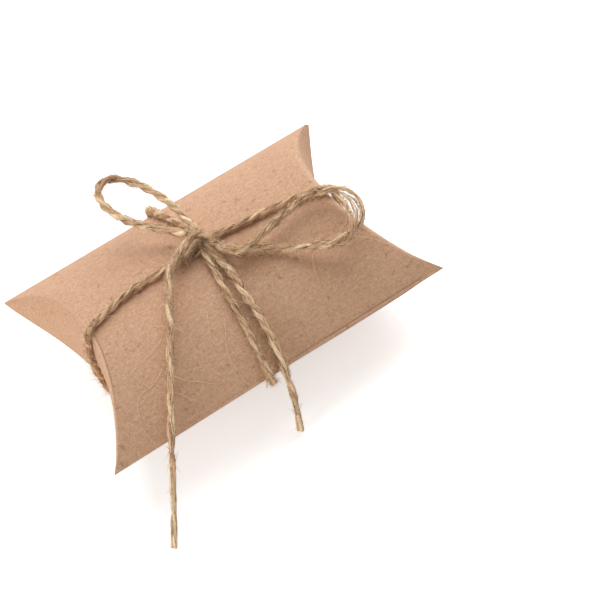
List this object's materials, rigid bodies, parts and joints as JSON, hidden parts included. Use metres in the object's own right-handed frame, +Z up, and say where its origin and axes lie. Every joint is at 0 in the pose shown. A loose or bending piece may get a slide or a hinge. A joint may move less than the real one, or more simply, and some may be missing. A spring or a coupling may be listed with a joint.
{
  "type": "favor box",
  "caption": "Kraft card pillow box with bowed panels and folding end flaps, tied crosswise with jute twine in a bow.",
  "frame": {"origin": "on the surface that the tied box lies on, under the middle of the box", "axes": "+X along the box towards its right end, +Y across it towards the far side fold, +Z up through the knot's panel"},
  "size_m": [0.09, 0.0787, 0.0358],
  "materials": {
    "kraft_card": "matte",
    "jute_twine": "matte"
  },
  "bodies": {
    "carton": {"top_panel": "kraft_card", "bottom_panel": "kraft_card", "glue_flap": "kraft_card", "twine_left_top": "jute_twine", "twine_left_bend": "jute_twine", "twine_underside": "jute_twine", "twine_right_bend": "jute_twine", "twine_right_top": "jute_twine", "twine_far_side": "jute_twine", "twine_near_side": "jute_twine", "twine_cross_under": "jute_twine", "bow_knot": "jute_twine", "bow_loop_left": "jute_twine", "bow_loop_right": "jute_twine", "tail_left": "jute_twine", "tail_right": "jute_twine"},
    "left_outer": {"left_outer_flap": "kraft_card", "twine_left_end": "jute_twine"},
    "right_outer": {"right_outer_flap": "kraft_card", "twine_right_end": "jute_twine"},
    "left_inner": {"left_inner_flap": "kraft_card"},
    "right_inner": {"right_inner_flap": "kraft_card"}
  },
  "joints": [
    {"name": "left_outer_crease", "type": "hinge", "parent": "carton", "child": "left_outer", "pos_m": [-0.03275, 0, 0.0291], "axis": [0, 1, 0], "range_deg": [0, 90], "deforming": ["twine_left_bend"]},
    {"name": "right_outer_crease", "type": "hinge", "parent": "carton", "child": "right_outer", "pos_m": [0.03275, 0, 0.0291], "axis": [0, -1, 0], "range_deg": [0, 90], "deforming": ["twine_right_bend"]},
    {"name": "left_inner_crease", "type": "hinge", "parent": "carton", "child": "left_inner", "pos_m": [-0.0315, 0, 0.00505], "axis": [0, 1, 0], "range_deg": [0, 75]},
    {"name": "right_inner_crease", "type": "hinge", "parent": "carton", "child": "right_inner", "pos_m": [0.0315, 0, 0.00505], "axis": [0, -1, 0], "range_deg": [0, 75]}
  ]
}
